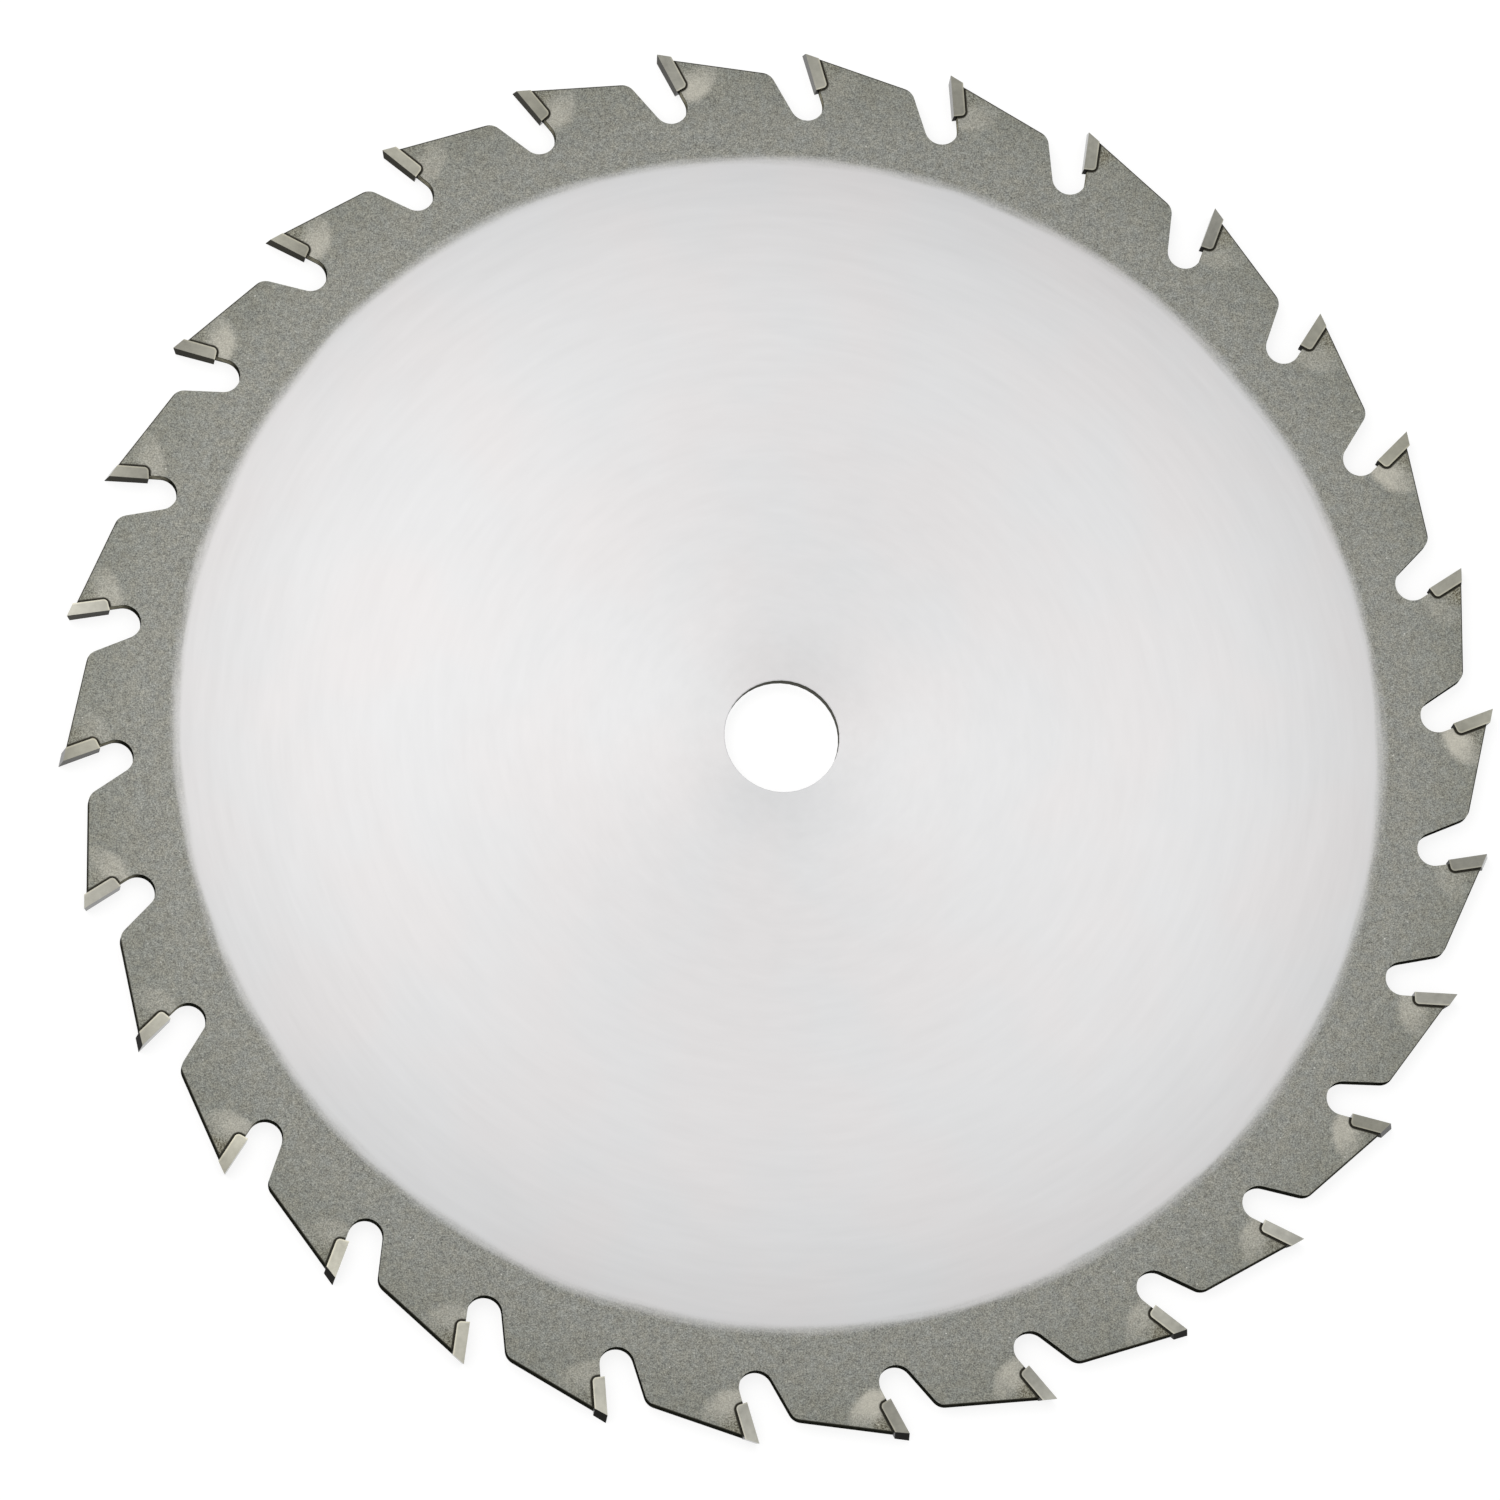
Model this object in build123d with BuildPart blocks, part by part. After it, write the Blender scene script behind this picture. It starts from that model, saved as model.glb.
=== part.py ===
from build123d import *
import os
from math import acos, cos, degrees, radians, sin, tan

# A tungsten-carbide-tipped circular saw blade: one flat steel plate with a ring of
# teeth cut into its rim, a carbide tip seated in the front corner of each tooth, and
# the thin seam of silver braze that holds each tip in its seat.
# Millimetres and degrees. The origin is the centre of the bore, halfway through the
# plate. +Z is the blade's axis, out of its front face. Seen from +Z, the teeth cut
# anticlockwise, and the first tip's cutting point lies on +X.

# Blade body
cutting_diameter = 250.0
bore_diameter = 20.0
bore_edge_break = 0.15
plate_thickness = 2.2

# Teeth
tooth_count = 30
gullet_depth = 12.8
gullet_radius = 3.0
heel_wall_angle = 31.5
heel_corner_radius = 2.5
tooth_back_angle = 16.0

# Carbide tips
kerf = 3.2
tip_length = 7.5
tip_thickness = 2.1
tip_corner_radius = 0.75
tip_floor_lean = 4.0
hook_angle = 18.0
top_clearance_angle = 15.0
top_bevel_angle = 10.0
radial_side_clearance = 1.5
rear_side_clearance = 3.0

# How a tip sits on its tooth: how far its rake face leads the front wall of the tooth,
# how far its point rises above the tooth's back, and the thickness of the braze
tip_lead = 0.7
tip_rise = 0.55
braze_gap = 0.15


# Directions and crossings in the plane of the blade
def heading(angle):
    return Vector(cos(radians(angle)), sin(radians(angle)))


def crossing(start, along, other_start, other_along):
    distance = (other_start - start).cross(other_along).Z / along.cross(other_along).Z
    return start + along * distance


# The tooth's own frame: X is the radius through its cutting point, and Y is the way
# that it cuts. The rake face, the front wall and the seat's rear wall all lie along
# "outward", and "rearward" points from the rake face into the tooth.
pitch_angle = 360 / tooth_count
cutting_radius = cutting_diameter / 2
cutting_point = Vector(cutting_radius, 0)
outward = heading(hook_angle)
rearward = heading(hook_angle - 90)
wall_point = cutting_point + rearward * tip_lead
clear_of_rim = gullet_depth * 2

# The tooth's back, which falls away from the cutting circle behind the tip
back_start = Vector(cutting_radius - tip_rise, 0)
back_heading = heading(-90 - tooth_back_angle)
next_back_start = back_start.rotate(Axis.Z, pitch_angle)
next_back_heading = back_heading.rotate(Axis.Z, pitch_angle)

# The gullet's round bottom, which runs smoothly into the front wall of its own tooth
# and the heel wall of the next
root_radius = cutting_radius - gullet_depth
centre_distance = root_radius + gullet_radius
centre_offset = wall_point.dot(rearward) - gullet_radius
centre_angle = hook_angle - 90 + degrees(acos(centre_offset / centre_distance))
gullet_centre = heading(centre_angle) * centre_distance
gullet_front = gullet_centre + rearward * gullet_radius
gullet_bottom = heading(centre_angle) * root_radius
gullet_rear = gullet_centre + heading(heel_wall_angle + 90) * gullet_radius
heel_corner = crossing(gullet_rear, heading(heel_wall_angle), next_back_start, next_back_heading)

# The side of the tip, and the seat, which is wider by the braze
floor_heading = heading(hook_angle - 90 + tip_floor_lean)
floor_inward = heading(hook_angle - 180 + tip_floor_lean)
tip_toe = cutting_point - outward * tip_length
tip_rear = cutting_point + rearward * tip_thickness
tip_corner = crossing(tip_rear, outward, tip_toe, floor_heading)
seat_toe = tip_toe + floor_inward * braze_gap
seat_rear = tip_rear + rearward * braze_gap
seat_corner = crossing(seat_rear, outward, seat_toe, floor_heading)
seat_corner_radius = tip_corner_radius + braze_gap

# One gullet, and with it all that is cut away above the back of the next tooth
with BuildSketch() as gullet_outline:
    with BuildLine():
        ThreePointArc(gullet_front, gullet_bottom, gullet_rear)
        Polyline(
            gullet_rear,
            heel_corner,
            next_back_start,
            heading(pitch_angle) * (cutting_radius + clear_of_rim),
            gullet_front + outward * clear_of_rim,
            gullet_front,
        )
    make_face()
    fillet(gullet_outline.vertices().sort_by_distance(heel_corner)[0], radius=heel_corner_radius)

# One seat, open to the front and to the rim
with BuildSketch() as seat_outline:
    with BuildLine():
        Polyline(
            seat_toe,
            seat_corner,
            seat_rear + outward * clear_of_rim,
            cutting_point + outward * clear_of_rim,
            close=True,
        )
    make_face()
    fillet(seat_outline.vertices().sort_by_distance(seat_corner)[0], radius=seat_corner_radius)

# The plate: a bored disc with the gullets and the seats cut through its rim
with BuildPart() as blade_plate:
    with BuildSketch(Plane.XY.offset(-plate_thickness / 2)):
        Circle(cutting_radius - tip_rise)
    extrude(amount=plate_thickness)
    Hole(radius=bore_diameter / 2)
    bore_rims = blade_plate.edges().filter_by(GeomType.CIRCLE).sort_by(SortBy.RADIUS)[:2]
    chamfer(bore_rims, length=bore_edge_break)
    with BuildSketch(Plane.XY.offset(-plate_thickness / 2)):
        with PolarLocations(0, tooth_count):
            add(gullet_outline.sketch)
            add(seat_outline.sketch)
    extrude(amount=plate_thickness, mode=Mode.SUBTRACT)


# One carbide tip. Its side faces narrow towards the toe and towards the rear. Its top
# is ground to a bevel that puts the long point at one side of the kerf: the front
# face's side when long_side is 1, and the back face's side when it is -1.
def carbide_tip(long_side):
    side_slope = rearward * tan(radians(rear_side_clearance)) - outward * tan(radians(radial_side_clearance))
    land_slope = heading(-top_clearance_angle) * cos(radians(top_bevel_angle))
    land_bevel = Vector(0, 0, long_side * sin(radians(top_bevel_angle)))
    with BuildPart() as tip:
        with BuildSketch(Plane.XY.offset(-kerf / 2)) as tip_outline:
            with BuildLine():
                Polyline(
                    tip_toe,
                    tip_corner,
                    tip_rear + outward * tip_thickness,
                    cutting_point + outward * tip_thickness,
                    close=True,
                )
            make_face()
            fillet(tip_outline.vertices().sort_by_distance(tip_corner)[0], radius=tip_corner_radius)
        extrude(amount=kerf)
        for side in (1, -1):
            side_point = cutting_point + Vector(0, 0, side * kerf / 2)
            split(bisect_by=Plane(side_point, z_dir=side_slope + Vector(0, 0, side)), keep=Keep.BOTTOM)
        long_point = cutting_point + Vector(0, 0, long_side * kerf / 2)
        split(bisect_by=Plane(long_point, z_dir=land_slope - land_bevel), keep=Keep.BOTTOM)
    return tip.part


# One seam of braze, as thick as the plate, from the tooth's back to its front wall
with BuildPart() as braze_seam:
    with BuildSketch(Plane.XY.offset(-plate_thickness / 2)) as seam_outline:
        with BuildLine():
            Polyline(
                crossing(seat_rear, outward, back_start, back_heading),
                seat_corner,
                crossing(seat_toe, floor_heading, wall_point, outward),
                crossing(tip_toe, floor_heading, wall_point, outward),
                tip_corner,
                crossing(tip_rear, outward, back_start, back_heading),
                close=True,
            )
        make_face()
        fillet(seam_outline.vertices().sort_by_distance(seat_corner)[0], radius=seat_corner_radius)
        fillet(seam_outline.vertices().sort_by_distance(tip_corner)[0], radius=tip_corner_radius)
    extrude(amount=plate_thickness)

with BuildPart() as braze_seams:
    with PolarLocations(0, tooth_count):
        add(braze_seam.part)

# Labels and files
os.makedirs("parts", exist_ok=True)

blade_plate.part.label = "blade_plate"
export_step(blade_plate.part, "parts/blade_plate.step")

# The bevels alternate from tooth to tooth, starting with a long point at the front
ground_tips = [carbide_tip(1), carbide_tip(-1)]
for tooth in range(tooth_count):
    with BuildPart() as placed_tip:
        add(ground_tips[tooth % 2], rotation=(0, 0, tooth * pitch_angle))
    placed_tip.part.label = f"carbide_tip_{tooth + 1:02d}"
    export_step(placed_tip.part, f"parts/{placed_tip.part.label}.step")

braze_seams.part.label = "braze_seams"
export_step(braze_seams.part, "parts/braze_seams.step")
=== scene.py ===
from math import cos, radians, sin

import bpy
from mathutils import Matrix, Vector


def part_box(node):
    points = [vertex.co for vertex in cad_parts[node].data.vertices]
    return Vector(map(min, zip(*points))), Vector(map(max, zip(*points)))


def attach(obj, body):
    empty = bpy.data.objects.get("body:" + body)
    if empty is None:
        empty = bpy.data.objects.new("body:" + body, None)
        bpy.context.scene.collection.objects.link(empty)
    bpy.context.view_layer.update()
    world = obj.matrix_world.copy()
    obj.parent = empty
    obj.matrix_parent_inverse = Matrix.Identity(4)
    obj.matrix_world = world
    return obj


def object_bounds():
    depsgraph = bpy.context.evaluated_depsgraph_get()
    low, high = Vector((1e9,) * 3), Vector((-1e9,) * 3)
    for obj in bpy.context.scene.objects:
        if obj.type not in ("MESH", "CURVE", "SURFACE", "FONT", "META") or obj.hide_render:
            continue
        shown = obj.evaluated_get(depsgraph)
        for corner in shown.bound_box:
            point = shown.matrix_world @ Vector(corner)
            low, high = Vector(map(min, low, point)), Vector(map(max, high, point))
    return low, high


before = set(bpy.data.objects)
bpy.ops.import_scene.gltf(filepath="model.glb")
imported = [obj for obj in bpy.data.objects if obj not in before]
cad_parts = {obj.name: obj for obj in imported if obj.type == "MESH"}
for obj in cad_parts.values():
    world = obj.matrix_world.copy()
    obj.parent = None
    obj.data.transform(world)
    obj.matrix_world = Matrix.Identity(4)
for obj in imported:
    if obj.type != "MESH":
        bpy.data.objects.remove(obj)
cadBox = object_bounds()
mm = 0.001
print("frame loaded:", len(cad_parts), "CAD nodes")

# The blade lies flat, its axis along Z and its front face up. The first tip points
# along +X, and seen from above the teeth cut anticlockwise.
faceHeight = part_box("blade_plate")[1].z
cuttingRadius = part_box("carbide_tip_01")[1].x
restHeight = cadBox[0].z

tooth = {
    "count": 30,
    "hookAngle": 18.0,
    "tipLength": 7.5 * mm,
    "tipThickness": 2.1 * mm,
    "cornerRadius": 0.75 * mm,
    "floorLean": 4.0,
    "brazeGap": 0.15 * mm,
    "tipLead": 0.7 * mm,
    "tipRise": 0.55 * mm,
    "backAngle": 16.0,
    "territory": 2.0,  # degrees in front of a tip that still belong to its tooth
}


# Short hands for building node trees
def addNode(tree, kind, **settings):
    node = tree.nodes.new(kind)
    for name, value in settings.items():
        setattr(node, name, value)
    return node


def plug(tree, socket, value):
    if isinstance(value, bpy.types.NodeSocket):
        tree.links.new(value, socket)
    elif value is not None:
        socket.default_value = value


def maths(tree, operation, *values, clamp=False):
    node = addNode(tree, "ShaderNodeMath", operation=operation, use_clamp=clamp)
    for socket, value in zip(node.inputs, values):
        plug(tree, socket, value)
    return node.outputs["Value"]


def vectorMaths(tree, operation, *values, output="Vector"):
    node = addNode(tree, "ShaderNodeVectorMath", operation=operation)
    for socket, value in zip(node.inputs, values):
        plug(tree, socket, value)
    return node.outputs[output]


def scaled(tree, vector, amount):
    node = addNode(tree, "ShaderNodeVectorMath", operation="SCALE")
    plug(tree, node.inputs[0], vector)
    plug(tree, node.inputs["Scale"], amount)
    return node.outputs["Vector"]


def joinXYZ(tree, x=0.0, y=0.0, z=0.0):
    node = addNode(tree, "ShaderNodeCombineXYZ")
    for socket, value in zip(node.inputs, (x, y, z)):
        plug(tree, socket, value)
    return node.outputs["Vector"]


def splitXYZ(tree, vector):
    node = addNode(tree, "ShaderNodeSeparateXYZ")
    plug(tree, node.inputs["Vector"], vector)
    return node.outputs["X"], node.outputs["Y"], node.outputs["Z"]


# The values multiplied together, one after the other
def product(tree, *values):
    result = values[0]
    for value in values[1:]:
        result = maths(tree, "MULTIPLY", result, value)
    return result


# A pattern that runs from 0 to 1, turned into a swing of the given depth about its middle
def swing(tree, pattern, depth, middle=1.0):
    return maths(tree, "MULTIPLY_ADD", maths(tree, "SUBTRACT", pattern, 0.5), depth, middle)


# A smooth step from low to high while the value goes from start to end
def fade(tree, value, start, end, low=0.0, high=1.0):
    node = addNode(tree, "ShaderNodeMapRange", interpolation_type="SMOOTHSTEP")
    for name, given in (
        ("Value", value),
        ("From Min", start),
        ("From Max", end),
        ("To Min", low),
        ("To Max", high),
    ):
        plug(tree, node.inputs[name], given)
    return node.outputs["Result"]


def noise(tree, vector, scale, detail=2.0, roughness=0.5):
    node = addNode(tree, "ShaderNodeTexNoise")
    for name, given in (
        ("Vector", vector),
        ("Scale", scale),
        ("Detail", detail),
        ("Roughness", roughness),
    ):
        plug(tree, node.inputs[name], given)
    return node.outputs["Fac"]


# A number from 0 to 1 that differs from tooth to tooth
def chance(tree, index, seed):
    node = addNode(tree, "ShaderNodeTexWhiteNoise", noise_dimensions="1D")
    plug(tree, node.inputs["W"], maths(tree, "ADD", index, seed))
    return node.outputs["Value"]


def mixValue(tree, share, first, second):
    node = addNode(tree, "ShaderNodeMix", data_type="FLOAT")
    for name, given in (("Factor", share), ("A", first), ("B", second)):
        plug(tree, node.inputs[name], given)
    return node.outputs["Result"]


def mixColour(tree, share, first, second, blend="MIX"):
    node = addNode(tree, "ShaderNodeMix", data_type="RGBA", blend_type=blend)
    plug(tree, node.inputs["Factor"], share)
    for name, given in (("A", first), ("B", second)):
        socket = [s for s in node.inputs if s.name == name and s.type == "RGBA"][0]
        plug(tree, socket, opaque(given))
    return [s for s in node.outputs if s.type == "RGBA"][0]


def multiplied(tree, first, second):
    return mixColour(tree, 1.0, first, second, "MULTIPLY")


def opaque(colour):
    if isinstance(colour, (tuple, list)) and len(colour) == 3:
        return (*colour, 1.0)
    return colour


def newGroup(name, inputs, outputs):
    tree = bpy.data.node_groups.new(name, "ShaderNodeTree")
    for label, kind, value in inputs:
        socket = tree.interface.new_socket(label, in_out="INPUT", socket_type=kind)
        if value is not None:
            socket.default_value = value
    for label, kind in outputs:
        tree.interface.new_socket(label, in_out="OUTPUT", socket_type=kind)
    given = addNode(tree, "NodeGroupInput").outputs
    result = addNode(tree, "NodeGroupOutput").inputs
    return tree, given, result


def useGroup(tree, group, **values):
    node = addNode(tree, "ShaderNodeGroup", node_tree=group)
    for name, value in values.items():
        plug(tree, node.inputs[name], value)
    return node.outputs


def newMaterial(name, **constants):
    material = bpy.data.materials.new(name)
    material.use_nodes = True
    tree = material.node_tree
    shader = tree.nodes["Principled BSDF"]
    for label, value in constants.items():
        shader.inputs[label].default_value = value
    return material, tree, shader.inputs


def addBump(tree, shader, look, height):
    bump = addNode(tree, "ShaderNodeBump")
    bump.inputs["Strength"].default_value = look["bumpStrength"]
    bump.inputs["Distance"].default_value = look["bumpDistance"]
    plug(tree, bump.inputs["Height"], height)
    plug(tree, shader["Normal"], bump.outputs["Normal"])


# Where a point lies on its own tooth. "Up" runs along the rake face from the cutting
# point outward, "Behind" from the rake face into the tooth, "Seam" is the distance
# outside the tip's outline and "Past Back" that outside the tooth's back, both negative
# inside.
def buildToothPlace():
    tree, given, result = newGroup(
        "tooth place",
        [
            ("Position", "NodeSocketVector", None),
            ("Tooth Count", "NodeSocketFloat", float(tooth["count"])),
            ("Territory", "NodeSocketFloat", radians(tooth["territory"])),
            ("Cutting Radius", "NodeSocketFloat", cuttingRadius),
            ("Hook Angle", "NodeSocketFloat", radians(tooth["hookAngle"])),
            ("Tip Length", "NodeSocketFloat", tooth["tipLength"]),
            ("Tip Thickness", "NodeSocketFloat", tooth["tipThickness"]),
            ("Corner Radius", "NodeSocketFloat", tooth["cornerRadius"]),
            ("Floor Lean", "NodeSocketFloat", radians(tooth["floorLean"])),
            ("Tip Rise", "NodeSocketFloat", tooth["tipRise"]),
            ("Back Angle", "NodeSocketFloat", radians(tooth["backAngle"])),
        ],
        [
            ("Tooth", "NodeSocketFloat"),
            ("Up", "NodeSocketFloat"),
            ("Behind", "NodeSocketFloat"),
            ("Seam", "NodeSocketFloat"),
            ("Past Back", "NodeSocketFloat"),
        ],
    )
    x, y, _ = splitXYZ(tree, given["Position"])
    angle = maths(tree, "ARCTAN2", y, x)
    pitch = maths(tree, "DIVIDE", radians(360), given["Tooth Count"])
    raised = maths(tree, "SUBTRACT", maths(tree, "ADD", angle, pitch), given["Territory"])
    turns = maths(tree, "FLOOR", maths(tree, "DIVIDE", raised, pitch))
    index = maths(tree, "FLOORED_MODULO", turns, given["Tooth Count"])
    turned = addNode(tree, "ShaderNodeVectorRotate", rotation_type="Z_AXIS")
    plug(tree, turned.inputs["Vector"], given["Position"])
    backTurn = maths(tree, "MULTIPLY", turns, maths(tree, "MULTIPLY", pitch, -1.0))
    plug(tree, turned.inputs["Angle"], backTurn)
    point = joinXYZ(tree, given["Cutting Radius"])
    fromPoint = vectorMaths(tree, "SUBTRACT", turned.outputs["Vector"], point)
    hooked = addNode(tree, "ShaderNodeVectorRotate", rotation_type="Z_AXIS")
    plug(tree, hooked.inputs["Vector"], fromPoint)
    plug(tree, hooked.inputs["Angle"], maths(tree, "MULTIPLY", given["Hook Angle"], -1.0))
    up, ahead, _ = splitXYZ(tree, hooked.outputs["Vector"])
    behind = maths(tree, "MULTIPLY", ahead, -1.0)

    # The outline's two sides that meet the tooth: its rear, and its floor, which leans
    pastRear = maths(tree, "SUBTRACT", behind, given["Tip Thickness"])
    overFloor = maths(tree, "ADD", up, given["Tip Length"])
    leaned = maths(tree, "MULTIPLY", behind, maths(tree, "SINE", given["Floor Lean"]))
    fallen = maths(tree, "MULTIPLY", overFloor, maths(tree, "COSINE", given["Floor Lean"]))
    pastFloor = maths(tree, "SUBTRACT", leaned, fallen)
    a = maths(tree, "ADD", pastRear, given["Corner Radius"])
    b = maths(tree, "ADD", pastFloor, given["Corner Radius"])
    outside = vectorMaths(
        tree,
        "LENGTH",
        joinXYZ(tree, maths(tree, "MAXIMUM", a, 0.0), maths(tree, "MAXIMUM", b, 0.0)),
        output="Value",
    )
    inside = maths(tree, "MINIMUM", maths(tree, "MAXIMUM", a, b), 0.0)
    rounded = maths(tree, "SUBTRACT", maths(tree, "ADD", outside, inside), given["Corner Radius"])

    # The tooth's back, a straight line that falls away from the cutting circle
    acrossX, acrossY, _ = splitXYZ(tree, fromPoint)
    risen = maths(tree, "ADD", acrossX, given["Tip Rise"])
    lifted = maths(tree, "MULTIPLY", risen, maths(tree, "COSINE", given["Back Angle"]))
    dropped = maths(tree, "MULTIPLY", acrossY, maths(tree, "SINE", given["Back Angle"]))
    pastBack = maths(tree, "SUBTRACT", lifted, dropped)
    for name, value in (
        ("Tooth", index),
        ("Up", up),
        ("Behind", behind),
        ("Seam", rounded),
        ("Past Back", pastBack),
    ):
        plug(tree, result[name], value)
    return tree


# Long fine lines, as a grinding wheel or a brush leaves them. The vector is measured in
# line lengths along X and Y and in line widths along Z.
grindRule = {
    "fineStretch": (2.3, 2.3, 4.1),  # how much finer the fine lines are, along and across
    "broadRoughness": 0.6,
    "fineRoughness": 0.7,
}


def buildGrindLines():
    tree, given, result = newGroup(
        "grind lines",
        [("Vector", "NodeSocketVector", None), ("Fine Share", "NodeSocketFloat", 0.5)],
        [("Lines", "NodeSocketFloat")],
    )
    broad = noise(tree, given["Vector"], 1.0, roughness=grindRule["broadRoughness"])
    stretched = vectorMaths(tree, "MULTIPLY", given["Vector"], grindRule["fineStretch"])
    fine = noise(tree, stretched, 1.0, detail=3.0, roughness=grindRule["fineRoughness"])
    plug(tree, result["Lines"], mixValue(tree, given["Fine Share"], broad, fine))
    return tree


# The even, fine-grained surface that blasting leaves: dark pits, pale grains and a
# slow drift between cooler and warmer grey
grainRule = {
    "grainSize": 0.26 * mm,
    "fineRoughness": 0.75,
    "clumpScale": 0.31,  # how often the clumps come, against the grains themselves
    "clumpWeight": 0.16,
    "middle": 0.58,
    "darkest": 0.2,
    "driftScale": 0.14,
    "driftRoughness": 0.7,
}


def buildBlastedGrain():
    rule = grainRule
    tree, given, result = newGroup(
        "blasted grain",
        [
            ("Position", "NodeSocketVector", None),
            ("Grain Size", "NodeSocketFloat", rule["grainSize"]),
            ("Contrast", "NodeSocketFloat", 1.0),
        ],
        [("Shade", "NodeSocketFloat"), ("Height", "NodeSocketFloat"), ("Warmth", "NodeSocketFloat")],
    )
    perMetre = maths(tree, "DIVIDE", 1.0, given["Grain Size"])
    fine = noise(tree, given["Position"], perMetre, detail=3.0, roughness=rule["fineRoughness"])
    clumpsPerMetre = maths(tree, "MULTIPLY", perMetre, rule["clumpScale"])
    clumps = noise(tree, given["Position"], clumpsPerMetre, detail=1.0)
    both = maths(tree, "MULTIPLY_ADD", clumps, rule["clumpWeight"], fine)
    centred = maths(tree, "SUBTRACT", both, rule["middle"])
    shade = maths(tree, "MULTIPLY_ADD", centred, given["Contrast"], 1.0)
    plug(tree, result["Shade"], maths(tree, "MAXIMUM", shade, rule["darkest"]))
    plug(tree, result["Height"], fine)
    drift = maths(tree, "MULTIPLY", perMetre, rule["driftScale"])
    warmth = noise(tree, given["Position"], drift, detail=3.0, roughness=rule["driftRoughness"])
    plug(tree, result["Warmth"], warmth)
    return tree


toothPlace = buildToothPlace()
grindLines = buildGrindLines()
blastedGrain = buildBlastedGrain()
print("shared node groups built")


# The plate: a brushed centre, a blasted ring, heat-tinted steel beside each tip, cut edges
# dark with oxide and painted shade, and a turned bore
plateLook = {
    "faceTilt": (0.45, 0.65),  # how level a surface lies before it counts as a face
    "brushedRadius": 104.95 * mm,
    "borderWidth": 2.8 * mm,
    "borderStreaks": 2.6 * mm,
    "brushedColour": (0.702, 0.701, 0.703),
    "brushedRimDim": 0.135,
    "rimDimPower": 2.2,
    "rimDimStart": 60 * mm,
    "boreDim": 0.955,
    "boreDimEnd": 24 * mm,
    "lineLength": 9 * mm,
    "lineWidth": 1.7 * mm,
    "lineContrast": 0.085,
    "fineLines": 0.25,
    "rimStreaks": 0.4,  # how much stronger the lines grow towards the border
    "blushSize": 26 * mm,
    "blushEdge": (0.35, 0.65),
    "blushColour": (1.0, 0.988, 0.990),
    "coolColour": (0.985, 0.992, 1.0),
    "brushedRoughness": 0.58,
    "ringColour": (0.306, 0.310, 0.283),
    "ringRimColour": (0.267, 0.272, 0.241),
    "ringReach": (108 * mm, 124 * mm),
    "warmGrain": (1.02, 1.0, 0.97),
    "coolGrain": (0.99, 1.0, 1.02),
    "hueEdge": (0.3, 0.7),
    "grainContrast": 3.0,
    "ringRoughness": 0.70,
    "dotSpacing": 2.1 * mm,
    "dotSize": (0.17 * mm, 0.06 * mm),
    "dotSeldom": 0.55,
    "dotColour": (0.62, 0.62, 0.58),
    "tintColour": (0.520, 0.505, 0.446),
    "tintPlace": (-4.1 * mm, 2.9 * mm),  # middle of the tinted round, up and behind
    "tintEdge": (6.9 * mm, 5.3 * mm),
    "coolPlace": (-2.6 * mm, 2.5 * mm),  # the untinted spot against the seam
    "coolEdge": (1.4 * mm, 4.8 * mm),
    "tintWander": 1.2 * mm,
    "wanderSize": 2.2 * mm,
    "tintTaper": 1.3,
    "tintLeast": 0.08,
    "tintSmooth": 0.72,  # how much of the grain the tint hides
    "tintSeed": 117226.0,
    "strawColour": (1.01, 0.98, 0.92),
    "strawEdge": (4.6 * mm, 2.0 * mm),
    "strawGrain": 0.30,
    "strawShare": (0.15, 1.0),  # from the least to the most scorched tooth
    "strawSeed": 1184128.0,
    "speckColour": (0.64, 0.58, 0.46),
    "speckEdge": (0.53, 0.41),
    # Flux scorch beside the seam, with painted shade where the proud tip shades the plate
    "scorchAndShadeColour": (0.110, 0.105, 0.080),
    "scorchAndShadeWidth": 0.75 * mm,
    "scorchAndShadeStart": (0.2 * mm, 0.8 * mm),
    "scorchAndShadeLeast": 0.2,
    "scorchAndShadeGrain": 0.9,
    "seamColour": (0.045, 0.043, 0.033),
    "seamEdge": (0.54 * mm, 0.34 * mm),
    "seamWander": 0.1,
    "backLine": (-0.24 * mm, -0.08 * mm),  # the dark line along the edge of a tooth's back
    # The cut walls: dark oxide, painted darker still as shade
    "cutOxideShadeColour": (0.019, 0.0195, 0.0145),
    "cutLines": (0.5, 1.9),  # the darkest and the palest patches on a cut wall
    "patchSize": 0.8 * mm,
    "patchEdge": (0.3, 0.7),
    "fluxedColour": (0.40, 0.38, 0.285),  # the cut wall that braze has run down, below a tip
    "fluxedReach": (4.2 * mm, 1.6 * mm),
    "fluxedFront": (-2.5 * mm, -1.0 * mm),
    "fluxedRear": (2.2 * mm, 1.2 * mm),
    "cutMiddle": (1.00 * mm, 0.65 * mm),  # distance from mid-thickness where the pale band fades
    "boreColour": (0.155, 0.155, 0.132),
    "boreReach": 11 * mm,
    "turnedWidth": 0.35 * mm,
    "wallContrast": 2.0,
    "wallRoughness": 0.55,
    "lineHeight": 0.12,
    "bumpStrength": 0.35,
    "bumpDistance": 0.05 * mm,
}

# The brushing runs round the bore, so the streaks of light lie towards and away from a lamp
steelConstants = {
    "Anisotropic": 0.50,
    "Anisotropic Rotation": 0.25,
    "Specular IOR Level": 0.0,
}


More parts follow.
